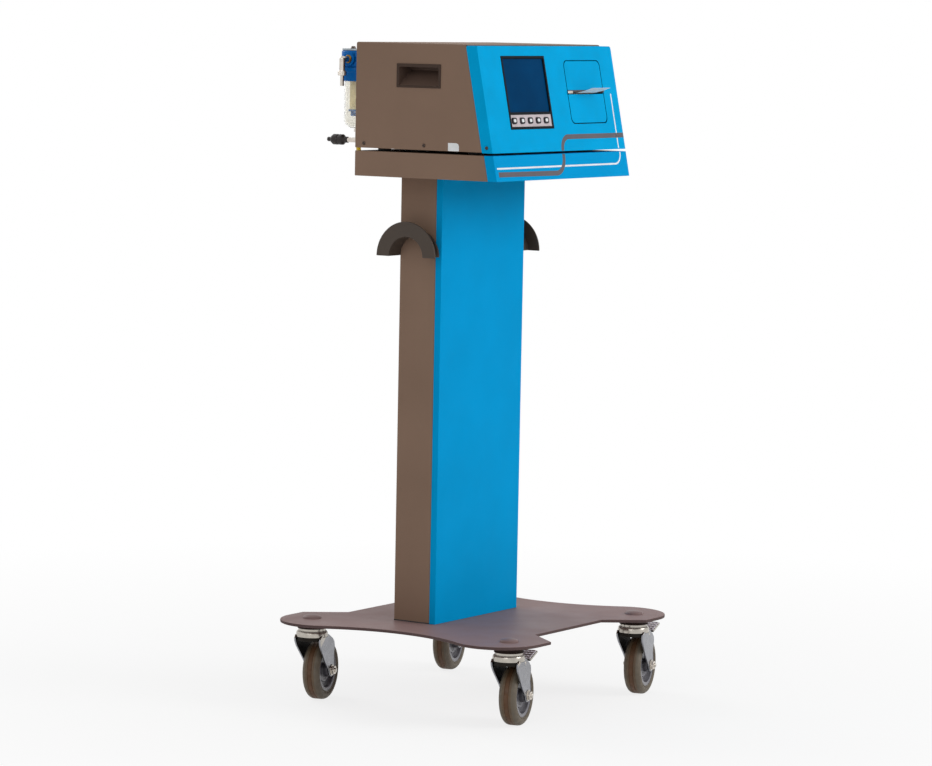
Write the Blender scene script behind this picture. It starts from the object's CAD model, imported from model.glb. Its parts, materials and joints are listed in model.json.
"""Exhaust gas analyser on a castor stand: the looks of every piece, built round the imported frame."""

import json
import math

import bmesh
import bpy
from bpy.props import FloatProperty, FloatVectorProperty, PointerProperty
from mathutils import Matrix, Vector

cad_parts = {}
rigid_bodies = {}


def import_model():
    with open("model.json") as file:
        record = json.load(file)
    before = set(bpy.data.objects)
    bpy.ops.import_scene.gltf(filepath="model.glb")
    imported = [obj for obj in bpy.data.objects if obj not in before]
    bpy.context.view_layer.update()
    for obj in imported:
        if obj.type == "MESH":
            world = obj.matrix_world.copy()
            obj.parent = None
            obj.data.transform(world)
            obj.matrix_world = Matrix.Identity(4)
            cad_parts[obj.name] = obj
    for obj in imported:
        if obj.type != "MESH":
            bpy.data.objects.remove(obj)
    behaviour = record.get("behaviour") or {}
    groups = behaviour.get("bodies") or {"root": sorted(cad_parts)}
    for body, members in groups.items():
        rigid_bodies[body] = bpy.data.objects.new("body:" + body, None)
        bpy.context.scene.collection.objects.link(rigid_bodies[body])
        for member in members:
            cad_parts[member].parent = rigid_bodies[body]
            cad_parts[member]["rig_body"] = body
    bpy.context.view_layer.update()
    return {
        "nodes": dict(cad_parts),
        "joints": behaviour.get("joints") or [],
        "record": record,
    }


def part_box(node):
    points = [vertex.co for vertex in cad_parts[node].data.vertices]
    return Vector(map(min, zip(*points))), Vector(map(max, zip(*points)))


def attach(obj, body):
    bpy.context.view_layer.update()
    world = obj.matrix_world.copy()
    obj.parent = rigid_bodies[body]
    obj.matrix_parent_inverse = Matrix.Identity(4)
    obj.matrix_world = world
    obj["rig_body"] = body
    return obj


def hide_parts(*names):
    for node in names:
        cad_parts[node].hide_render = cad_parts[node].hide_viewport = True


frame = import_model()

bl_info = {
    "name": "Gas Analyser Stand",
    "version": (1, 0, 0),
    "blender": (4, 5, 0),
    "location": "View3D > Sidebar > Analyser",
    "description": "Builds the looks of a gas analyser on its castor stand",
    "category": "Object",
}

MM = 0.001
SHARP = math.radians(35)  # edges that bend more are rounded or stay crisp
ROOT = "stand_and_case"
CORNERS = ("fl", "fr", "rl", "rr")
NODES = frame["nodes"]
BODY_OF = {node: piece["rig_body"] for node, piece in NODES.items()}
SLOT_OF = {part["node"]: part["material_slot"] for part in frame["record"]["subparts"]}
JOINTS = {joint["name"]: joint for joint in frame["joints"]}


# Frames: each turns millimetres in a piece's own directions into places in the shared frame

def axes(origin, z, x):
    """A frame at an origin in metres with those Z and X directions."""
    z = Vector(z).normalized()
    x = Vector(x).normalized()
    made = Matrix((x, z.cross(x), z)).transposed().to_4x4()
    made.translation = Vector(origin)
    return made


def upright(x, y):
    """A frame on the floor at a place in metres, Z up."""
    return axes((x, y, 0), (0, 0, 1), (1, 0, 0))


FASCIA_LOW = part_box("front_fascia")[0]
FACE = axes((0, FASCIA_LOW.y, FASCIA_LOW.z), -Vector(JOINTS["key_press_1"]["axis"]), (1, 0, 0))
FILTER_X, FILTER_Y = JOINTS["lock_ring_turn"]["pos_m"][:2]
FILTER = upright(FILTER_X, FILTER_Y)
ELBOW_OUT = 50 * MM


def castor_frame(corner):
    """Floor point under a castor's kingpin, X towards its wheel."""
    pin = JOINTS["castor_swivel_" + corner]["pos_m"]
    axle = Vector(JOINTS["wheel_roll_" + corner]["axis"])
    return axes((pin[0], pin[1], 0), (0, 0, 1), axle.cross((0, 0, 1)))


def wheel_frame(corner):
    """Centre of a wheel, Z along its axle."""
    roll = JOINTS["wheel_roll_" + corner]
    return axes(roll["pos_m"], roll["axis"], (0, 0, 1))


# Sizes and colours that a user would change

def linear(code):
    """Linear RGBA of an sRGB hex colour."""
    parts = [int(code[i:i + 2], 16) / 255 for i in (0, 2, 4)]
    return [c / 12.92 if c <= 0.04045 else ((c + 0.055) / 1.055) ** 2.4 for c in parts] + [1.0]


def colour(name, description, code):
    """A colour property with an sRGB hex default."""
    return FloatVectorProperty(name=name, description=description, subtype="COLOR", size=4,
                               min=0.0, max=1.0, default=linear(code))


def length(name, description, millimetres):
    """A length property with a default in millimetres."""
    return FloatProperty(name=name, description=description, default=millimetres * MM, min=0.0,
                         unit="LENGTH", subtype="DISTANCE", precision=4)


class StandColours(bpy.types.PropertyGroup):
    """Colours of the stand, the case and the sample line."""
    taupe: colour("Taupe", "Powder coat of the case, tray and column", "8c7362")
    blue: colour("Blue", "Paint of the column front and tray front", "009fde")
    fascia: colour("Fascia", "Moulded front of the case", "00a9e4")
    plate: colour("Base plate", "Powder coat of the X shaped plate", "8b7270")
    spacer: colour("Spacers", "Fibre discs under the base plate", "2a1b17")
    tyre: colour("Tyre sides", "Grey rubber of the tyres", "655b4d")
    tread: colour("Tread", "Brown band round the tyres", "523418")
    hub: colour("Hubs", "Moulded wheel centres", "56545a")
    handle: colour("Handles", "Moulded carrying recesses", "665349")
    hook: colour("Hose hooks", "Moulded half drums", "4a4038")
    bezel: colour("Bezel", "Frame round the screen and keys", "11171d")
    screen: colour("Screen", "Liquid-crystal display", "003c68")
    keys: colour("Keys", "Push keys", "2f2b31")
    key_strip: colour("Key strip", "Film round the keys", "cfc3c7")
    filter_blue: colour("Filter", "Moulded head and ring of the sample filter", "0069ba")
    hose: colour("Hoses", "Clear yellow tube of the sample line", "f2cf24")
    capsule: colour("Capsule", "In-line filter of the sample line", "f4dcd3")
    stripe: colour("Pale stripe", "White vinyl line", "f2f4f5")
    band: colour("Dark stripe", "Taupe vinyl band", "645f65")


class StandSizes(bpy.types.PropertyGroup):
    """Roundings, stripes and hoses."""
    sheet_ease: length("Sheet edge", "Rounding of folded and cut sheet", 0.8)
    plate_ease: length("Plate edge", "Rounding of the base plate", 1.1)
    mould_ease: length("Moulded edge", "Rounding of moulded pieces", 0.6)
    fine_ease: length("Fine edge", "Rounding of thin pieces", 0.35)
    stripe_w: length("Pale stripe", "Width of the white line", 2.8)
    band_w: length("Dark stripe", "Width of the taupe band", 8.0)
    hose_d: length("Hose", "Outside diameter of the hoses", 8.0)
    lamp_power: FloatProperty(name="Lamp", description="Power of the front lamp", default=105.0, min=0.0,
                              unit="POWER")


def colours():
    return bpy.context.scene.stand_colours


def sizes():
    return bpy.context.scene.stand_sizes


# Finishes

def add_node(material, kind, inputs=None, **settings):
    """Adds a shader node of a kind; an input is a value or the socket that feeds it."""
    node = material.node_tree.nodes.new("ShaderNode" + kind)
    for name, value in settings.items():
        setattr(node, name, value)
    for socket, value in (inputs or {}).items():
        if isinstance(value, bpy.types.NodeSocket):
            material.node_tree.links.new(value, node.inputs[socket])
        else:
            node.inputs[socket].default_value = value
    return node


def blank(name):
    """A material with no nodes, and the socket of its piece's own coordinates."""
    material = bpy.data.materials.new(name)
    material.use_nodes = True
    material.node_tree.nodes.clear()
    return material, add_node(material, "TexCoord").outputs["Object"]


def show(material, inputs):
    """Ends a material with its shader."""
    shader = add_node(material, "BsdfPrincipled", inputs)
    add_node(material, "OutputMaterial", {"Surface": shader.outputs[0]})
    return material


def tone(rgba, factor):
    """A colour made darker or paler."""
    return [min(1.0, c * factor) for c in rgba[:3]] + [1.0]


def uneven(material, place, size_mm, low, high, detail=3.0):
    """A value that drifts between two others in patches of that size."""
    patch = add_node(material, "TexNoise", {"Vector": place, "Scale": 1 / (size_mm * MM), "Detail": detail})
    span = add_node(material, "MapRange", {
        "Value": patch.outputs[0], "From Min": 0.3, "From Max": 0.7, "To Min": low, "To Max": high})
    return span.outputs[0]


def clouds(material, place, size_mm, rgba, dark, pale):
    """A colour that drifts between two tones in patches of that size."""
    patch = uneven(material, place, size_mm, 0.0, 1.0, 4.0)
    mix = add_node(material, "Mix", {0: patch, 6: tone(rgba, dark), 7: tone(rgba, pale)}, data_type="RGBA")
    return mix.outputs[2]


def grain(material, place, size_mm, depth_mm):
    """A bump of rounded grains of that size and depth."""
    bead = add_node(material, "TexNoise", {"Vector": place, "Scale": 1 / (size_mm * MM), "Detail": 2.0})
    bump = add_node(material, "Bump", {"Height": bead.outputs[0], "Distance": depth_mm * MM})
    return bump.outputs[0]


def rubbed(material, place, under, over, width_mm, share):
    """Colour over, worn to colour under along the edges."""
    edge = add_node(material, "Bevel", {"Radius": width_mm * MM}, samples=4)
    face = add_node(material, "NewGeometry")
    along = add_node(material, "VectorMath", {0: edge.outputs[0], 1: face.outputs["Normal"]},
                     operation="DOT_PRODUCT")
    worn = add_node(material, "MapRange", {
        "Value": along.outputs["Value"], "From Min": 0.99, "From Max": 0.8, "To Max": share})
    patch_mm = 14
    patch = add_node(material, "TexNoise", {"Vector": place, "Scale": 1 / (patch_mm * MM), "Detail": 4.0})
    broken = add_node(material, "Math", {0: worn.outputs[0], 1: patch.outputs[0]}, operation="MULTIPLY")
    mix = add_node(material, "Mix", {0: broken.outputs[0], 6: over, 7: under}, data_type="RGBA")
    return mix.outputs[2]


def powder_coat(name, rgba, peel_mm, roughness, gloss, worn):
    """Powder-coated sheet steel."""
    # Polyester powder, sprayed and baked: satin, with an orange-peel skin, faint clouds in the colour and
    # edges rubbed paler. The peel is drawn about twice as coarse as it is, so that it shows.
    material, place = blank(name)
    body = clouds(material, place, 140, rgba, 0.95, 1.05)
    return show(material, {
        "Base Color": rubbed(material, place, tone(rgba, 1.5), body, 1.4, worn),
        "Roughness": uneven(material, place, 60, roughness - 0.05, roughness + 0.06),
        "Normal": grain(material, place, peel_mm, 0.05 * peel_mm),
        "Specular IOR Level": gloss})


def moulded(name, rgba, grain_mm, roughness, gloss=0.3):
    """Injection-moulded ABS."""
    # Moulded in a spark-eroded tool: a fine leathery grain, dull gloss and a slight paling at the corners.
    material, place = blank(name)
    body = clouds(material, place, 50, rgba, 0.94, 1.06)
    return show(material, {
        "Base Color": rubbed(material, place, tone(rgba, 1.5), body, 0.8, 0.5),
        "Roughness": uneven(material, place, 25, roughness - 0.05, roughness + 0.07),
        "Normal": grain(material, place, grain_mm, 0.04 * grain_mm),
        "Specular IOR Level": gloss})


def plated(name, rgba, roughness, bloom_mm):
    """Zinc- or nickel-plated metal."""
    # Electroplated: bright, with a cloudy bloom in the gloss and the faint lines of drawing and stamping.
    material, place = blank(name)
    return show(material, {
        "Base Color": clouds(material, place, bloom_mm, rgba, 0.86, 1.06),
        "Metallic": 1.0,
        "Roughness": uneven(material, place, bloom_mm / 2, roughness - 0.07, roughness + 0.1),
        "Normal": grain(material, place, bloom_mm / 4, 0.008)})


def rubber(name, rgba, dust):
    """Vulcanised rubber."""
    # Filled rubber that has rolled on workshop floors: matt, scuffed in patches and paler with dust.
    material, place = blank(name)
    return show(material, {
        "Base Color": clouds(material, place, 9, rgba, 0.88, dust),
        "Roughness": uneven(material, place, 6, 0.5, 0.72),
        "Normal": grain(material, place, 1.2, 0.06),
        "IOR": 1.52})


def display_glass(name, rgba):
    """Glass over a blue liquid-crystal cell."""
    # Glass with an anti-reflection film: almost no gloss over an even dark blue, a little paler where the
    # backlight spreads.
    material, place = blank(name)
    return show(material, {
        "Base Color": clouds(material, place, 70, rgba, 0.86, 1.16),
        "Roughness": uneven(material, place, 30, 0.1, 0.16),
        "Specular IOR Level": 0.01})


def printed_film(name, rgba):
    """Screen-printed polyester film."""
    # Ink behind a velvet-faced film: even colour with a fine tooth that spreads the gloss.
    material, place = blank(name)
    return show(material, {
        "Base Color": clouds(material, place, 20, rgba, 0.93, 1.07),
        "Roughness": uneven(material, place, 8, 0.32, 0.42),
        "Normal": grain(material, place, 0.8, 0.02), "Specular IOR Level": 0.15})


def clear_plastic(name, rgba, roughness, through):
    """Clear moulded plastic."""
    # Polycarbonate or polyurethane: see-through, with flow lines that waver in the gloss.
    material, place = blank(name)
    return show(material, {
        "Base Color": clouds(material, place, 12, rgba, 0.95, 1.04),
        "Roughness": uneven(material, place, 9, roughness, roughness + 0.06),
        "Transmission Weight": through,
        "Normal": grain(material, place, 6, 0.006), "IOR": 1.5})


def felt(name, rgba):
    """Bonded filter felt."""
    # Glass and polyester fibres, pressed and bonded: dry, matt and cream, with a matted surface.
    material, place = blank(name)
    fibre = add_node(material, "Mapping", {"Vector": place, "Scale": (1.0, 1.0, 0.35)}).outputs[0]
    return show(material, {
        "Base Color": clouds(material, fibre, 2.5, rgba, 0.86, 1.05),
        "Roughness": uneven(material, place, 4, 0.85, 0.95),
        "Normal": grain(material, fibre, 0.9, 0.12)})


def thermal_paper(name, rgba, through=0.0):
    """Coated printer paper."""
    # Thin coated stock: near white, with a slight sheen and a faint tooth. A single sheet scatters the light
    # that falls through it.
    material, place = blank(name)
    return show(material, {
        "Base Color": clouds(material, place, 5, rgba, 0.96, 1.0),
        "Roughness": uneven(material, place, 4, 0.4, 0.52),
        "Subsurface Weight": through, "Subsurface Radius": (1.0, 1.0, 1.0), "Subsurface Scale": 2 * MM,
        "Normal": grain(material, place, 1.5, 0.01)})


def circuit_board(name, rgba):
    """Fibreglass board under solder mask."""
    # Green lacquer over copper: tracks show as a paler net about 3 mm apart.
    material, place = blank(name)
    pitch_mm = 3
    tracks = add_node(material, "TexBrick", {
        "Vector": place, "Scale": 1 / (pitch_mm * MM), "Mortar Size": 0.06,
        "Color1": tone(rgba, 0.9), "Color2": tone(rgba, 1.1), "Mortar": tone(rgba, 1.9)})
    return show(material, {
        "Base Color": tracks.outputs["Color"],
        "Roughness": uneven(material, place, 10, 0.25, 0.4), "IOR": 1.55})


# Slot or trim: kind, material, colour and the kind's own settings
FINISHES = {
    "plate_paint": (powder_coat, "plate_powder_coat", "plate", 1.8, 0.5, 0.15, 0.15),
    "plate_edge": (powder_coat, "plate_edge_coat", ("plate", 0.4), 1.8, 0.55, 0.1, 0.3),
    "taupe_paint": (powder_coat, "taupe_powder_coat", "taupe", 1.5, 0.55, 0.1, 0.5),
    "blue_paint": (powder_coat, "blue_powder_coat", "blue", 1.8, 0.45, 0.02, 0.4),
    "blue_abs": (moulded, "blue_abs", "fascia", 1.3, 0.42, 0.02),
    "zinc_steel": (plated, "zinc_plate", "#b7b1a8", 0.2, 10),
    "dull_zinc": (plated, "dull_zinc", "#97989d", 0.3, 12),
    "pedal_pad": (moulded, "pedal_polypropylene", "#dcd6e0", 0.9, 0.45),
    "soiled_zinc": (plated, "soiled_zinc", "#2b2825", 0.55, 8),
    "cap_plastic": (moulded, "cap_plastic", ("plate", 0.8), 1.2, 0.45),
    "spacer_fibre": (moulded, "spacer_fibre", "spacer", 1.6, 0.6, 0.15),
    "hub_plastic": (moulded, "hub_polypropylene", "hub", 1.2, 0.28, 0.45),
    "hub_lip": (moulded, "hub_lip_polypropylene", ("hub", 1.7), 1.2, 0.24, 0.5),
    "tyre_rubber": (rubber, "tyre_rubber", "tyre", 1.12),
    "tread_rubber": (rubber, "tread_rubber", "tread", 1.25),
    "shoulder_rubber": (rubber, "shoulder_rubber", "#5e4c38", 1.2),
    "hook_plastic": (moulded, "hook_polypropylene", "hook", 1.4, 0.5),
    "foot_rubber": (rubber, "foot_rubber", "#2b2a2a", 1.2),
    "screw_steel": (plated, "blackened_steel", "#584d47", 0.42, 5),
    "screw_recess": (plated, "screw_recess", "#1d1917", 0.6, 4),
    "handle_plastic": (moulded, "handle_abs", "handle", 1.2, 0.5, 0.15),
    "handle_rim": (moulded, "handle_rim_abs", ("handle", 0.5), 1.2, 0.5, 0.1),
    "joint_shadow": (moulded, "soiled_joint_abs", ("fascia", 0.22), 1.0, 0.6, 0.0),
    "bezel_plastic": (moulded, "bezel_abs", "bezel", 0.9, 0.4, 0.05),
    "lcd_panel": (display_glass, "display_glass", "screen"),
    "key_strip": (printed_film, "key_film", "key_strip"),
    "key_cap": (moulded, "key_silicone", "keys", 0.7, 0.5, 0.1),
    "key_mark": (printed_film, "key_mark_ink", "#eceef0"),
    "printer_plastic": (moulded, "printer_abs", "#2a2c30", 1.0, 0.45),
    "tear_steel": (plated, "blued_strip", "#544c4d", 0.35, 10),
    "thermal_paper": (thermal_paper, "thermal_paper", "#faeee4"),
    "paper_sheet": (thermal_paper, "single_paper_sheet", "#fce9dc", 0.8),
    "filter_blue": (moulded, "filter_polypropylene", "filter_blue", 1.0, 0.3, 0.1),
    "clear_bowl": (clear_plastic, "bowl_polycarbonate", "#fdfaf3", 0.02, 0.92),
    "filter_felt": (felt, "filter_felt", "#f8e8b8"),
    "nickel_fittings": (plated, "nickel_plate", "#cfc7be", 0.13, 6),
    "brass_ring": (plated, "turned_brass", "#8f6d31", 0.25, 5),
    "pale_nut": (plated, "nut_nickel", "#e2dad0", 0.25, 4),
    "coupling_black": (moulded, "coupling_nylon", "#2d2725", 0.9, 0.4),
    "hose_yellow": (clear_plastic, "hose_polyurethane", "hose", 0.12, 0.35),
    "capsule_plastic": (clear_plastic, "capsule_nylon", "capsule", 0.2, 0.3),
    "bracket_steel": (plated, "bracket_steel", "#98a0a5", 0.4, 9),
    "inlet_black": (moulded, "inlet_nylon", "#26272a", 0.9, 0.42),
    "board_green": (circuit_board, "circuit_board", "#2f6b3f"),
    "cast_grey": (plated, "cast_aluminium", "#a3a8ac", 0.5, 4),
    "stripe_vinyl": (printed_film, "stripe_vinyl", "stripe"),
    "band_vinyl": (printed_film, "band_vinyl", "band"),
}
MADE = {}


def shade(code):
    """The colour of a #hex code, of a property, or of a property and a tone."""
    if isinstance(code, tuple):
        return tone(shade(code[0]), code[1])
    return linear(code[1:]) if code.startswith("#") else getattr(colours(), code)


def finish(slot):
    """The material of a slot or trim, made once."""
    if slot not in MADE:
        kind, name, code, *settings = FINISHES[slot]
        MADE[slot] = kind(name, shade(code), *settings)
    return MADE[slot]


# Shapes

def ring(count, radius, turn=0.0):
    """Points round a circle, in mm."""
    steps = [2 * math.pi * k / count + turn for k in range(count)]
    return [(radius * math.cos(a), radius * math.sin(a)) for a in steps]


def arc(centre, radius, start, end, steps):
    """Points of an arc, in mm and degrees."""
    angles = [math.radians(start + (end - start) * k / steps) for k in range(steps + 1)]
    return [(centre[0] + radius * math.cos(a), centre[1] + radius * math.sin(a)) for a in angles]


def mirrored(half):
    """A closed outline of (radius, height) from the half above the middle."""
    return half + [(r, -h) for r, h in half[::-1]] + [half[0]]


def vertex(bm, place, *spot):
    """A new vertex at a spot of a frame, in mm."""
    return bm.verts.new(place @ (Vector(spot) * MM))


def turned(bm, profile, place, sides=56, bands=None):
    """Turns an outline of (radius, height) about the place's Z; bands gives some segments another finish."""
    closed = profile[0] == profile[-1]
    loops = []
    for radius, height in profile[:-1] if closed else profile:
        spots = ring(sides, radius) if radius else [(0.0, 0.0)]
        loops.append([vertex(bm, place, x, y, height) for x, y in spots])
    if closed:
        loops.append(loops[0])
    for step, (low, high) in enumerate(zip(loops, loops[1:])):
        for k in range(sides):
            j = k + 1
            corners = [low[k % len(low)], low[j % len(low)], high[j % len(high)], high[k % len(high)]]
            face = bm.faces.new(list(dict.fromkeys(corners)))
            face.material_index = (bands or {}).get(step, 0)


def washer(bore, rim, low, high, inward, upward):
    """The outline of a ring of (radius, height) whose outer edges are chamfered by so much, in mm."""
    edge = rim - inward
    return [(bore, low), (edge, low), (rim, low + upward), (rim, high - upward), (edge, high), (bore, high),
            (bore, low)]


def slab(bm, outline, place, low, high):
    """A plate with an outline of (x, y), from low to high along the place's Z, in mm."""
    ends = [[vertex(bm, place, x, y, z) for x, y in outline] for z in (low, high)]
    bm.faces.new(ends[0][::-1])
    bm.faces.new(ends[1])
    for k in range(len(outline)):
        j = (k + 1) % len(outline)
        bm.faces.new((ends[0][k], ends[0][j], ends[1][j], ends[1][k]))


def linked(name, data):
    """A new object in the scene."""
    made = bpy.data.objects.new(name, data)
    bpy.context.scene.collection.objects.link(made)
    return made


def put(name, bm, slot, body=ROOT, stands_for=(), ease=0.0, more=(), whole=True):
    """Makes a mesh into a piece that rides on its body, with its finishes and eased edges."""
    if whole:
        bmesh.ops.recalc_face_normals(bm, faces=bm.faces[:])
    mesh = bpy.data.meshes.new(name)
    bm.to_mesh(mesh)
    bm.free()
    for each in (slot, *more):
        mesh.materials.append(finish(each))
    mesh.polygons.foreach_set("use_smooth", [True] * len(mesh.polygons))
    piece = linked(name, mesh)
    if ease:
        edges = piece.modifiers.new("eased_edges", "BEVEL")
        edges.width = ease
        edges.segments = 2
        edges.limit_method = "ANGLE"
        edges.angle_limit = SHARP
        edges.use_clamp_overlap = False
        piece.modifiers.new("flat_faces", "WEIGHTED_NORMAL").weight = 80
    else:
        mesh.set_sharp_from_angle(angle=SHARP)
    return settle(piece, body, stands_for)


def settle(piece, body, stands_for=()):
    """Tells the frame what a piece rides on, stands for and is made of."""
    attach(piece, body)
    if stands_for:
        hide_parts(*stands_for)
    return piece


def eased(node, ease):
    """A copy of a node with clean faces and rounded edges, in its own finish."""
    bm = bmesh.new()
    bm.from_mesh(NODES[node].data)
    bmesh.ops.remove_doubles(bm, verts=bm.verts[:], dist=0.002 * MM)
    bmesh.ops.dissolve_limit(bm, angle_limit=math.radians(0.5), verts=bm.verts[:], edges=bm.edges[:])
    return put(node + "_form", bm, SLOT_OF[node], BODY_OF[node], (node,), ease, whole=False)


def repaint(piece, slot, chosen):
    """Gives the chosen faces of a piece another finish."""
    piece.data.materials.append(finish(slot))
    for face in piece.data.polygons:
        if chosen(face):
            face.material_index = len(piece.data.materials) - 1


def dress(*nodes):
    """Gives nodes whose shape is right their finish."""
    for node in nodes:
        NODES[node].data.materials.clear()
        NODES[node].data.materials.append(finish(SLOT_OF[node]))


def hose(name, points, stands_for=()):
    """A yellow hose along points in metres."""
    slot = "hose_yellow"
    line = bpy.data.curves.new(name, "CURVE")
    line.dimensions = "3D"
    line.resolution_u = 10
    line.bevel_depth = sizes().hose_d / 2
    line.bevel_resolution = 8
    line.use_fill_caps = True
    path = line.splines.new("BEZIER")
    path.bezier_points.add(len(points) - 1)
    for spot, point in zip(path.bezier_points, points):
        spot.co = point
        spot.handle_left_type = spot.handle_right_type = "AUTO"
    line.materials.append(finish(slot))
    return settle(linked(name, line), ROOT, stands_for)


def bent(points, radius, steps=10):
    """A path in mm whose inner corners are rounded."""
    path = [Vector(points[0])]
    for before, corner, after in zip(points, points[1:], points[2:]):
        corner = Vector(corner)
        back = (Vector(before) - corner).normalized()
        ahead = (Vector(after) - corner).normalized()
        half = back.angle(ahead) / 2
        reach = radius / math.tan(half)
        middle = corner + (back + ahead).normalized() * (radius / math.sin(half))
        first = corner + back * reach - middle
        last = corner + ahead * reach - middle
        for k in range(steps + 1):
            path.append(middle + first.lerp(last, k / steps).normalized() * radius)
    return path + [Vector(points[-1])]


def round_rect(width, height, radius):
    """The outline of a rectangle with rounded corners about the middle, in mm."""
    corners = ((1, 1), (-1, 1), (-1, -1), (1, -1))
    dx, dy = width / 2 - radius, height / 2 - radius
    return [spot for turn, (x, y) in enumerate(corners)
            for spot in arc((x * dx, y * dy), radius, 90 * turn, 90 * turn + 90, 4)]


def ribbon(bm, path, width, place, low, high):
    """A flat strip along a path of (x, y), in mm."""
    sides = ([], [])
    for k, point in enumerate(path):
        way = (path[min(k + 1, len(path) - 1)] - path[max(k - 1, 0)]).normalized()
        across = Vector((-way.y, way.x)) * width / 2
        sides[0].append(tuple(point + across))
        sides[1].append(tuple(point - across))
    slab(bm, sides[0] + sides[1][::-1], place, low, high)


PRINTER_JOINT = ((40, 170), (40, 165), (-1.6, -0.2))


def in_printer_joint(face):
    """Whether a face lines the narrow joint round the printer."""
    spot = FACE.inverted() @ face.center / MM
    return all(low < value < high for value, (low, high) in zip(spot, PRINTER_JOINT))


class Builder:
    """What the operators share."""
    bl_options = {"REGISTER"}

    def execute(self, context):
        self.build(sizes())
        return {"FINISHED"}


class ANALYSER_OT_base_plate(Builder, bpy.types.Operator):
    """X shaped plate with the caps, spacers and dust seals of its castor bolts"""
    bl_idname = "analyser.base_plate"
    bl_label = "Base Plate"

    def build(self, size):
        plate = eased("base_plate", size.plate_ease)
        repaint(plate, "plate_edge", lambda face: abs(face.normal.z) < 0.5)
        cap_r, cap_rise, cap_foot = 15, 4.5, 143.5
        cap = [(0, cap_foot + cap_rise)] + [(cap_r * math.cos(a), cap_foot + cap_rise * math.sin(a))
                                            for a in (math.radians(d) for d in range(80, -1, -10))]
        cap += [(cap_r + 0.4, 142.6), (cap_r + 0.4, 142)]
        spacer = washer(6.3, 24.4, 128.05, 136.95, 0.8, 0.75)
        seal = washer(22.9, 24.3, 125.6, 127.9, 0.4, 0.5)
        caps = bmesh.new()
        spacers = bmesh.new()
        for corner in CORNERS:
            place = castor_frame(corner)
            turned(caps, cap, place, 40)
            turned(spacers, spacer, place, 48)
            turned(spacers, seal, place, 48)
        put("castor_cap_domes", caps, "cap_plastic", stands_for=("castor_caps",))
        put("castor_spacers", spacers, "spacer_fibre")


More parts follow.
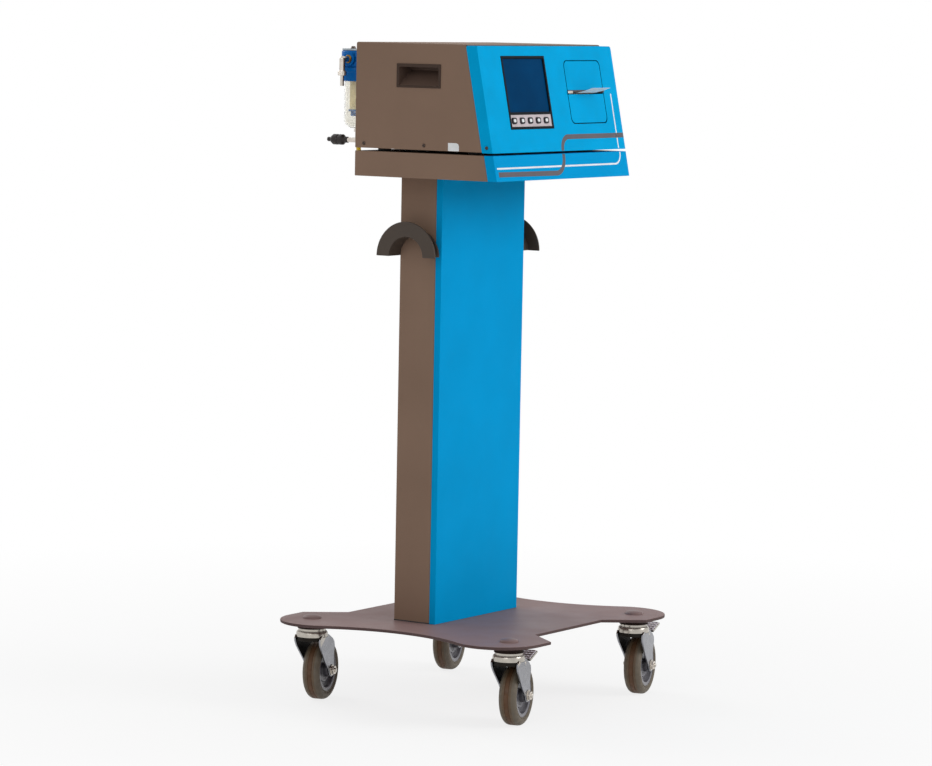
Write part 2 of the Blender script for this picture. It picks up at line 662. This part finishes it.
class ANALYSER_OT_castors(Builder, bpy.types.Operator):
    """Forks, wheels, tyres and brake pedals"""
    bl_idname = "analyser.castors"
    bl_label = "Castors"

    crown_low = 111.3
    leg_out = 20.3
    nut_reach = 12

    def build(self, size):
        dress("swivel_studs")
        for corner in CORNERS:
            self.fork(corner, size)
            self.wheel(corner)
        for corner in CORNERS[:2]:
            self.pedal(corner, size)

    def fork(self, corner, size):
        place = castor_frame(corner)
        axle = wheel_frame(corner)
        across = place.col[1].to_3d()

        def on_leg(face):
            return face.center.z < self.crown_low * MM

        def inside_leg(face):
            side = math.copysign(1, across.dot(face.center - place.translation))
            return on_leg(face) and face.normal.dot(across) * side < -0.9

        def on_nut(face):
            spot = axle.inverted() @ face.center / MM
            return abs(spot.z) > self.leg_out + 0.1 and spot.xy.length < self.nut_reach

        sheet = eased("castor_fork_" + corner, size.mould_ease)
        repaint(sheet, "dull_zinc", on_leg)
        repaint(sheet, "soiled_zinc", inside_leg)
        repaint(sheet, "pale_nut", on_nut)
        bm = bmesh.new()
        self.dome(bm, place)
        low, high = self.leg_out, self.leg_out + 1.4
        under_nut = [(3.8, low), (9.4, low), (9.4, high), (3.8, high), (3.8, low)]
        bolt_end = [(4.1, 26), (4.1, 27.6), (3.2, 28.6), (0, 28.8)]
        for way in (1, -1):
            end = axes(axle.translation, axle.col[2].to_3d() * way, (0, 0, 1))
            turned(bm, under_nut, end)
            turned(bm, bolt_end, end, 24)
        put("castor_trim_" + corner, bm, "zinc_steel", "castor_" + corner, ease=0.3 * MM,
            more=("soiled_zinc",))

    def dome(self, bm, place):
        """The pressed head of a fork; its soiled skirt hangs lower on the side away from the wheel."""
        columns = 72
        skirt_low, skirt_high = 105.6, 111.6
        full_half, fade = 48, 14  # degrees round the kingpin
        soiled = range(4, 8)
        loops = []
        for k in range(columns):
            turn = 2 * math.pi * k / columns
            off = abs(math.degrees(turn) - 180)
            low = skirt_low + (skirt_high - skirt_low) * min(1.0, max(0.0, off - full_half) / fade)
            outline = [(24.3, 121), (25.4, 120.6), (26.2, 118.6), (26.6, 115), (26.8, 112), (27, low + 0.3),
                       (26.8, low), (26.2, low), (25.7, 111.7), (24.3, 111.8)]
            loops.append([vertex(bm, place, r * math.cos(turn), r * math.sin(turn), z) for r, z in outline])
        for near, far in zip(loops, loops[1:] + loops[:1]):
            for j in range(len(near)):
                i = (j + 1) % len(near)
                face = bm.faces.new((near[j], far[j], far[i], near[i]))
                face.material_index = int(j in soiled)

    def wheel(self, corner):
        place = wheel_frame(corner)
        body = "wheel_" + corner
        bore, boss, rim, rim_half = 4.1, 17, 36, 13
        half = [(bore, boss), (9.6, boss), (10.8, 16.2), (11.4, 14), (11.6, 8.6), (13, 7), (16.5, 6.6),
                (17.2, 7.4), (20.5, 7.4), (21.2, 6.4), (26, 6), (28, 6.8), (29.4, 9.4), (30.2, 12.4),
                (31.2, rim_half), (rim, rim_half)]
        bm = bmesh.new()
        lips = (6, 7, 13, 14)
        last = 2 * len(half) - 2
        turned(bm, mirrored(half), place, bands={k: 1 for lip in lips for k in (lip, last - lip)})
        put("hub_form_" + corner, bm, "hub_plastic", body, ("wheel_hub_" + corner,), more=("hub_lip",))

        tyre_r, groove_r, shoulder_r, flat_half = 50, 49.5, 9, 6
        side = [(36.1, 13.5), (37.6, 13.9), (38.2, 13.3), (39, 13.3), (39.6, 14.3)]
        side += arc((tyre_r - shoulder_r, flat_half), shoulder_r, 90, 12, 8)
        tread = [(tyre_r, flat_half), (tyre_r, 4.1), (groove_r, 3.8), (groove_r, 3.4), (tyre_r, 3.1)]
        outline = side + tread
        middle = len(outline) - 1
        brown, fading = 3, 5
        bands = {middle + k: 1 if abs(k) <= brown else 2 for k in range(-fading, fading + 1)}
        bm = bmesh.new()
        turned(bm, mirrored(outline), place, 72, bands)
        put("tyre_form_" + corner, bm, "tyre_rubber", body, ("tyre_" + corner,),
            more=("tread_rubber", "shoulder_rubber"))

    def pedal(self, corner, size):
        eased("brake_pedal_" + corner, size.fine_ease)
        tilt = Matrix.Rotation(math.radians(-15), 4, "Y")
        place = castor_frame(corner) @ Matrix.Translation(Vector((44, 0, 107.1)) * MM) @ tilt
        near, far, half, low, top = 1, 35, 20, 1.4, 2.3
        pitch, reach, rise, sunk = 6.2, 3.4, 1.4, 0.1
        bm = bmesh.new()
        slab(bm, [(near, -half), (far, -half), (far, half), (near, half)], place, low, top)
        for x in (3.5, 11.5, 20.5, 29.5):
            for k in range(-3, 4):
                foot = [(x + dx, pitch * k + dy) for dx, dy in ring(4, reach, math.pi / 4)]
                spots = [vertex(bm, place, *spot, top - sunk) for spot in foot]
                tip = vertex(bm, place, x, pitch * k, top + rise)
                for j in range(4):
                    bm.faces.new((spots[j], spots[(j + 1) % 4], tip))
                bm.faces.new(spots[::-1])
        put("pedal_grip_" + corner, bm, "pedal_pad", "brake_" + corner)


class ANALYSER_OT_column(Builder, bpy.types.Operator):
    """Column with its wrap-round front panel and the hose hooks"""
    bl_idname = "analyser.column"
    bl_label = "Column and Hose Hooks"

    def build(self, size):
        for node in ("column_channel", "column_panel"):
            eased(node, size.sheet_ease)
        for node in ("hose_hook_left", "hose_hook_right"):
            eased(node, size.plate_ease)
        self.foot_strip()

    def foot_strip(self):
        """The dark strip that the channel stands on."""
        proud, height = 0.2, 1.8
        low, high = (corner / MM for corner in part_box("column_channel"))
        left, right, back = low.x - proud, high.x + proud, high.y + proud
        outline = [(left, low.y), (right, low.y), (right, back), (left, back)]
        bm = bmesh.new()
        slab(bm, outline, Matrix(), low.z, low.z + height)
        put("column_foot_strip", bm, "foot_rubber")


class ANALYSER_OT_case(Builder, bpy.types.Operator):
    """Tray, case shell, feet, screws and carrying recesses"""
    bl_idname = "analyser.case"
    bl_label = "Tray and Case"

    def build(self, size):
        dress("tray_floor", "case_floor", "main_board", "sample_pump", "gas_bench")
        for node in ("tray_shell", "case_cover", "case_feet"):
            eased(node, size.sheet_ease)
        eased("tray_front", size.mould_ease)
        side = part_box("case_cover")[1].x
        for node in ("handle_cup_left", "handle_cup_right"):
            repaint(eased(node, size.mould_ease), "handle_rim", lambda face: abs(face.center.x) > side)
        eased("rear_panel", size.fine_ease)
        eased("cover_screws", 0.25 * MM)
        self.recesses()

    def recesses(self):
        side_rows, side_z = (0.099, -0.019, -0.1403), 0.9355
        pair_half, bracket_y, bracket_z = 0.019, 0.1225, 1.057
        bm = bmesh.new()
        low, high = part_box("cover_screws")
        for side, x in ((-1, low.x), (1, high.x)):
            for y in side_rows:
                self.cross(bm, axes((x, y, side_z), (side, 0, 0), (0, 1, 0)), 1.5)
        for x in (FILTER_X - pair_half, FILTER_X + pair_half):
            self.cross(bm, axes((x, FILTER_Y, high.z), (0, 0, 1), (1, 0, 0)), 2.2)
            self.cross(bm, axes((x, bracket_y, bracket_z), (0, 1, 0), (1, 0, 0)), 1.9)
        put("screw_recesses", bm, "screw_recess")

    def cross(self, bm, place, reach):
        """The cross recess of a screw, with arms of that reach in mm."""
        arm = 0.22 * reach
        quarter = [(arm, arm), (arm, reach), (-arm, reach)]
        outline = []
        for turn in range(4):
            c, s = round(math.cos(turn * math.pi / 2)), round(math.sin(turn * math.pi / 2))
            outline += [(x * c - y * s, x * s + y * c) for x, y in quarter]
        slab(bm, outline, place, -0.4, 0.06)


class ANALYSER_OT_front(Builder, bpy.types.Operator):
    """Sloping fascia with its screen, keys and stripes, and the blank seal"""
    bl_idname = "analyser.front"
    bl_label = "Front"

    def build(self, size):
        repaint(eased("front_fascia", size.fine_ease), "joint_shadow", in_printer_joint)
        eased("screen_bezel", size.fine_ease)
        eased("lcd_screen", size.fine_ease)
        eased("key_plate", 0.2 * MM)
        self.keys(size)
        self.stripes(size)
        self.seal()

    def keys(self, size):
        key_row, oval = 52.04, round_rect(7.4, 5.4, 2)
        for number in range(1, 6):
            node = f"key_{number}"
            eased(node, size.fine_ease)
            low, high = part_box(node)
            centre = FACE.inverted() @ ((low + high) / 2) / MM
            place = FACE @ Matrix.Translation(Vector((centre.x, key_row, 0)) * MM)
            mark = bmesh.new()
            slab(mark, oval, place, 1.3, 1.72)
            put(f"key_mark_{number}", mark, "key_mark", BODY_OF[node])

    def stripes(self, size):
        low, high = -0.1, 0.18
        line_w, band_w = size.stripe_w / MM, size.band_w / MM
        white, band = bmesh.new(), bmesh.new()
        ribbon(white, bent([(183, 94), (183, 1.5)], 0), line_w, FACE, low, high)
        ribbon(white, bent([(185, -4.6), (185, -24.5), (-199, -24.7)], 19), line_w, FACE, low, high)
        ribbon(band, bent([(204, 23.5), (7, 23.5), (7, 0.8)], 22), band_w, FACE, low, high)
        ribbon(band, bent([(7, -4.6), (5, -36), (-196, -34.5)], 28), band_w, FACE, low, high + 0.02)
        put("pale_stripes", white, "stripe_vinyl")
        put("dark_stripes", band, "band_vinyl")

    def seal(self):
        side_x, front, back, low, high = -205, -87, -66, 928.4, 941.4
        outline = [(front, low), (back, low), (back, high), (-82, high), (-85.5, 939.9), (front, 936.4)]
        bm = bmesh.new()
        slab(bm, outline, axes((side_x * MM, 0, 0), (1, 0, 0), (0, 1, 0)), -0.15, 0.1)
        put("blank_seal", bm, "stripe_vinyl")


class ANALYSER_OT_printer(Builder, bpy.types.Operator):
    """Printer door, tear bar, paper and its roll"""
    bl_idname = "analyser.printer"
    bl_label = "Printer"

    def build(self, size):
        dress("printer_bucket")
        repaint(eased("printer_door", size.fine_ease), "joint_shadow", in_printer_joint)
        eased("tear_bar", 0.3 * MM)
        self.teeth()
        self.paper()
        self.roll()

    def teeth(self):
        start, pitch, count = 50.0, 2.4, 45
        tip, root, back = 96.8, 98.2, 100.2
        saw = [(start + pitch * k / 2, tip if k % 2 else root) for k in range(2 * count + 1)]
        bm = bmesh.new()
        slab(bm, saw + [(saw[-1][0], back), (start, back)], FACE, 1.0, 1.6)
        put("tear_teeth", bm, "tear_steel")
        clip = bmesh.new()
        middle = FACE @ Matrix.Translation(Vector((53, 97.2, 0)) * MM)
        slab(clip, round_rect(14, 4.4, 1.4), middle, 0.5, 3.2)
        put("paper_clip", clip, "nickel_fittings", ease=0.5 * MM)

    def paper(self):
        left, right, columns = 76.0, 133.0, 38
        curl, lift, thick, inside, tooth = 180.0, 95.94, 0.3, 9.0, 0.5
        path = [(-inside, lift)] + [(curl * math.sin(a), lift + curl * (1 - math.cos(a)))
                                    for a in (math.radians(d) for d in range(11))]
        bm = bmesh.new()
        sheets = []
        for rise in (0.0, thick):
            rows = []
            for k, (out, up) in enumerate(path):
                torn = tooth if k == len(path) - 1 else 0.0
                spots = [(left + (right - left) * j / columns, up + rise, out - torn * (j % 2))
                         for j in range(columns + 1)]
                rows.append([vertex(bm, FACE, *spot) for spot in spots])
            sheets.append(rows)
        under, over = sheets
        seams = [pair for rows in sheets for pair in zip(rows, rows[1:])]
        seams += [(under[end], over[end]) for end in (0, -1)]
        seams += [([row[end] for row in under], [row[end] for row in over]) for end in (0, -1)]
        for a, b in seams:
            for j in range(len(a) - 1):
                bm.faces.new((a[j], a[j + 1], b[j + 1], b[j]))
        sheet = put("paper_curl", bm, "thermal_paper", stands_for=("paper_strip",))
        repaint(sheet, "paper_sheet", lambda face: True)

    def roll(self):
        hinge = JOINTS["paper_roll_turn"]
        place = axes(hinge["pos_m"], (1, 0, 0), (0, 1, 0))
        half, core, rim = 28.5, 6.05, 24.0
        bm = bmesh.new()
        winds = [(r, half - (0.0 if k % 2 else 0.35)) for k, r in enumerate(range(9, 24))]
        end = [(core, half - 0.6), (8, half - 0.6), (8.3, half)]
        end += winds + [(rim - 0.3, half), (rim, half - 0.4)]
        turned(bm, mirrored(end), place, 64)
        put("paper_roll_form", bm, "thermal_paper", "roll", ("paper_roll",))


class ANALYSER_OT_sample_filter(Builder, bpy.types.Operator):
    """Sample filter with its clear bowl, element and fittings"""
    bl_idname = "analyser.sample_filter"
    bl_label = "Sample Filter"

    def build(self, size):
        eased("filter_bracket", size.fine_ease)
        eased("filter_head", size.mould_ease)
        for node in ("hose_fittings", "inlet_coupling", "element_retainer"):
            eased(node, size.fine_ease)
        self.lock_ring()
        self.bowl()
        self.element()
        self.trims()

    def lock_ring(self):
        low, seat, high = 1034.5, 1042.5, 1057.5
        lip_r, bore_r, rim_r = 24.8, 27.6, 34
        profile = [(lip_r, low), (28.6, low), (30.2, 1035.3), (31.2, 1037.4), (31.9, 1047.8), (32.4, 1049.2),
                   (33.5, 1050.1), (rim_r, 1051.2), (rim_r, 1055.6), (33.4, 1057), (32.2, high),
                   (bore_r, high), (bore_r, seat), (lip_r, seat), (lip_r, low)]
        bm = bmesh.new()
        turned(bm, profile, FILTER, 72)
        put("lock_ring_form", bm, "filter_blue", "lock_ring", ("filter_ring",))

    def bowl(self):
        radius, wall, end_r, drain_r, flange_r = 24.5, 2.5, 14, 5.1, 27.2
        foot, flange_low, flange_high, top = 957.0, 1042.8, 1046.3, 1049.6
        outer = arc((radius - end_r, foot + end_r), end_r, -90, 0, 14)
        inner = arc((radius - end_r, foot + end_r), end_r - wall, 0, -90, 14)
        rim = [(radius, flange_low), (flange_r, flange_low), (flange_r, flange_high), (radius, flange_high),
               (radius, top), (radius - wall, top)]
        profile = [(drain_r, foot)] + outer + rim + inner + [(drain_r, foot + wall), (drain_r, foot)]
        bm = bmesh.new()
        turned(bm, profile, FILTER, 72)
        put("bowl_form", bm, "clear_bowl", stands_for=("filter_bowl",))

    def element(self):
        low, high, core, radius, edge = 987.7, 1049.6, 6.05, 15.5, 0.5
        pleats, fold, cap, lap = 36, 0.8, 4.2, 0.2
        outline = [p for pair in zip(ring(pleats, radius), ring(pleats, radius - fold, math.pi / pleats))
                   for p in pair]
        bm = bmesh.new()
        slab(bm, outline, FILTER, low + cap - lap, high - cap + lap)
        for a, b in ((low, low + cap), (high - cap, high)):
            turned(bm, washer(core, radius, a, b, edge, edge), FILTER)
        put("element_form", bm, "filter_felt", stands_for=("filter_element",))

    def trims(self):
        port_out, port_z = 33 * MM, 1.071
        brass_ring = [(5.2, 0), (6.7, 0), (7, 0.5), (6.7, 1.5), (6, 2.1), (5.2, 2.1), (5.2, 0)]
        teeth = 18
        knurl = [p for pair in zip(ring(teeth, 7.4), ring(teeth, 6.9, math.pi / teeth)) for p in pair]
        low, high = 1050.4, 1052.6
        collar = [(5.1, low), (6.9, low), (6.2, high), (5.1, high), (5.1, low)]
        brass, nuts, fins = bmesh.new(), bmesh.new(), bmesh.new()
        for way in (-1, 1):
            port = axes((FILTER_X + way * port_out, FILTER_Y, port_z), (way, 0, 0), (0, 0, 1))
            turned(brass, brass_ring, port, 40)
            leg = upright(FILTER_X + way * ELBOW_OUT, FILTER_Y)
            slab(nuts, knurl, leg, 1044.6, 1050.6)
            turned(nuts, collar, leg, 36)
        for k in range(4):
            turn = Matrix.Rotation(math.pi / 2 * k + 0.4, 4, "Z")
            slab(fins, [(5, -0.8), (14, -0.8), (14, 0.8), (5, 0.8)], FILTER @ turn, 977, 984.2)
        put("port_rings", brass, "brass_ring")
        put("elbow_nuts", nuts, "pale_nut", ease=0.2 * MM)
        put("retainer_fins", fins, "filter_blue", ease=0.3 * MM)


class ANALYSER_OT_sample_line(Builder, bpy.types.Operator):
    """Hoses with their ties, the in-line capsule and the mains inlet"""
    bl_idname = "analyser.sample_line"
    bl_label = "Sample Line and Inlet"

    drain_route = ((0, 0), (0, -8), (1, -16), (5, -27), (12, -36), (23, -42), (36, -44), (49, -42), (60, -36),
                   (67, -27), (71, -16), (72, -8), (72, 0))
    bend_route = ((-32, 0), (-26, 0), (-17, 3), (-9, 9), (-3, 18), (0, 27), (0, 46))

    def build(self, size):
        foot = Vector((FILTER_X, FILTER_Y, 0.936))
        hose("drain_tube", [foot + Vector((x, 0, z)) * MM for x, z in self.drain_route], ("drain_hose",))
        bend = Vector((FILTER_X + ELBOW_OUT, FILTER_Y, 0.941))
        hose("sample_tube_low", [bend + Vector((0, y, z)) * MM for y, z in self.bend_route], ("sample_hose",))
        hose("sample_tube_high", [Vector((bend.x, bend.y, z * MM)) for z in (1028, 1036, 1044)])
        self.capsule(bend)
        self.inlet(size)

    def capsule(self, bend):
        place = upright(bend.x, bend.y)
        low, high, radius, cup_h = 987.0, 1028.0, 17.5, 16
        cup = [(0, low), (5.6, low), (6.4, low + 1), (6.6, low + 3), (14.6, low + 5.4), (16.6, low + 7),
               (radius, low + 9.6), (radius, low + cup_h)]
        top = [(r, low + high - h) for r, h in cup[::-1]]
        inner, outer, edge, face = 17.4, 18.4, 16.2, 16.6
        hoop = [(inner, low + edge), (outer, low + face), (outer, high - face), (inner, high - edge),
                (inner, low + edge)]
        ribs, rib_h = 20, 6
        rib = [(17, -0.7), (18, -0.5), (18, 0.5), (17, 0.7)]
        band, ties, shell = bmesh.new(), bmesh.new(), bmesh.new()
        turned(shell, cup + top, place)
        turned(band, hoop, place)
        for k in range(ribs):
            turn = Matrix.Rotation(2 * math.pi * k / ribs, 4, "Z")
            slab(shell, rib, place @ turn, high - cup_h, high - cup_h + rib_h)
        tie = [(3.9, -1.4), (4.7, -1.2), (4.7, 1.2), (3.9, 1.4), (3.9, -1.4)]
        for z in (983.5, 1031.5, 1040.5):
            turned(ties, [(r, z + h) for r, h in tie], place, 28)
        for x in (self.drain_route[0][0], self.drain_route[-1][0]):
            spot = upright(FILTER_X + x * MM, FILTER_Y)
            turned(ties, [(r, 932 + h) for r, h in tie], spot, 28)
        put("capsule_shell", shell, "capsule_plastic", stands_for=("inline_filter",))
        put("capsule_band", band, "coupling_black")
        put("hose_ties", ties, "coupling_black")

    def inlet(self, size):
        eased("power_inlet", size.fine_ease)
        low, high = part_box("power_inlet")
        socket_in = 18.5 * MM
        centre = Vector((low.x + socket_in, 0, (low.z + high.z) / 2))
        pins = bmesh.new()
        for dx, dz in ((-7, -2), (0, 2.5), (7, -2)):
            place = axes((centre.x + dx * MM, high.y, centre.z + dz * MM), (0, 1, 0), (1, 0, 0))
            slab(pins, [(-1, -2), (1, -2), (1, 2), (-1, 2)], place, -20, -7)
        put("inlet_pins", pins, "nickel_fittings", ease=0.3 * MM)


class ANALYSER_OT_stage(Builder, bpy.types.Operator):
    """Floor, studio light and camera"""
    bl_idname = "analyser.stage"
    bl_label = "Stage"

    def build(self, size):
        self.floor()
        self.world()
        self.lamps(size)
        self.camera()

    def floor(self):
        bm = bmesh.new()
        bmesh.ops.create_grid(bm, x_segments=1, y_segments=1, size=60)
        mesh = bpy.data.meshes.new("floor")
        bm.to_mesh(mesh)
        bm.free()
        floor = linked("floor", mesh)
        # Painted studio floor: near white, brighter to the eye and in reflections, with soft shadows.
        material, place = blank("studio_floor")
        away = add_node(material, "VectorMath", {0: place}, operation="LENGTH")
        plain = add_node(material, "MapRange", {
            "Value": away.outputs["Value"], "From Min": 0.3, "From Max": 2.0, "To Min": 0.8, "To Max": 1.0})
        share = add_node(material, "Math", {0: self.seen(material), 1: plain.outputs[0]},
                         operation="MULTIPLY")
        dull = add_node(material, "BsdfDiffuse", {"Color": linear("f3f3f3")})
        glow = add_node(material, "Emission", {"Color": linear("ffffff"), "Strength": 1.0})
        both = add_node(material, "MixShader", {0: share.outputs[0], 1: dull.outputs[0], 2: glow.outputs[0]})
        add_node(material, "OutputMaterial", {"Surface": both.outputs[0]})
        mesh.materials.append(material)

    def seen(self, material):
        """1 for what the camera, a mirror or a lens sees, and 0 for light on its way to a matt surface."""
        path = add_node(material, "LightPath")
        seen = path.outputs["Is Camera Ray"]
        for way in ("Is Glossy Ray", "Is Transmission Ray"):
            seen = add_node(material, "Math", {0: seen, 1: path.outputs[way]}, operation="MAXIMUM").outputs[0]
        return seen

    def world(self):
        world = bpy.data.worlds.new("studio")
        world.use_nodes = True
        world.node_tree.nodes.clear()
        bpy.context.scene.world = world
        strength = add_node(world, "MapRange", {"Value": self.seen(world), "To Min": 0.42, "To Max": 1.0})
        sky = add_node(world, "Background", {"Color": linear("ffffff"), "Strength": strength.outputs[0]})
        add_node(world, "OutputWorld", {"Surface": sky.outputs[0]})

    def lamps(self, size):
        aim = Vector((0, 0, 0.6))
        for name, place, share in (("front_lamp", (1.6, -4.4, 2.8), 1.0),
                                   ("left_lamp", (-4.6, -1.0, 2.6), 0.3),
                                   ("back_lamp", (0.6, 4.2, 3.0), 0.5)):
            light = bpy.data.lights.new(name, "AREA")
            light.energy = size.lamp_power * share
            light.size = 2.6
            lamp = linked(name, light)
            lamp.location = place
            lamp.rotation_euler = (aim - Vector(place)).to_track_quat("-Z", "Y").to_euler()

    def camera(self):
        eye = Vector((-5578.99, -3640.01, 1162.78)) * MM
        azimuth, pitch, roll = (math.radians(a) for a in (-56.694, 5.389, 1.073))
        flat = math.cos(pitch)
        back = Vector((math.sin(azimuth) * flat, -math.cos(azimuth) * flat, math.sin(pitch)))
        right = Vector((math.cos(azimuth), math.sin(azimuth), 0))
        level = Matrix((right, back.cross(right), back)).transposed()
        data = bpy.data.cameras.new("photo_camera")
        data.sensor_width = 36
        data.lens = 154.74
        data.clip_end = 200
        camera = linked("photo_camera", data)
        camera.matrix_world = (level @ Matrix.Rotation(roll, 3, "Z")).to_4x4()
        camera.location = eye
        bpy.context.scene.camera = camera
        bpy.context.scene.view_settings.view_transform = "Standard"


BUILDERS = (ANALYSER_OT_stage, ANALYSER_OT_base_plate, ANALYSER_OT_castors, ANALYSER_OT_column,
            ANALYSER_OT_case, ANALYSER_OT_front, ANALYSER_OT_printer, ANALYSER_OT_sample_filter,
            ANALYSER_OT_sample_line)


class ANALYSER_PT_panel(bpy.types.Panel):
    """Lists what can be built"""
    bl_idname = "ANALYSER_PT_panel"
    bl_label = "Gas Analyser Stand"
    bl_space_type = "VIEW_3D"
    bl_region_type = "UI"
    bl_category = "Analyser"

    def draw(self, context):
        for builder in BUILDERS:
            self.layout.operator(builder.bl_idname)
        for group in (colours(), sizes()):
            for name in group.__annotations__:
                self.layout.prop(group, name)


CLASSES = (StandColours, StandSizes, *BUILDERS, ANALYSER_PT_panel)


def register():
    for each in CLASSES:
        bpy.utils.register_class(each)
    bpy.types.Scene.stand_colours = PointerProperty(type=StandColours)
    bpy.types.Scene.stand_sizes = PointerProperty(type=StandSizes)


def unregister():
    del bpy.types.Scene.stand_sizes
    del bpy.types.Scene.stand_colours
    for each in reversed(CLASSES):
        bpy.utils.unregister_class(each)


def main():
    register()
    for builder in BUILDERS:
        getattr(bpy.ops.analyser, builder.bl_idname.split(".")[1])()


if __name__ == "__main__":
    main()
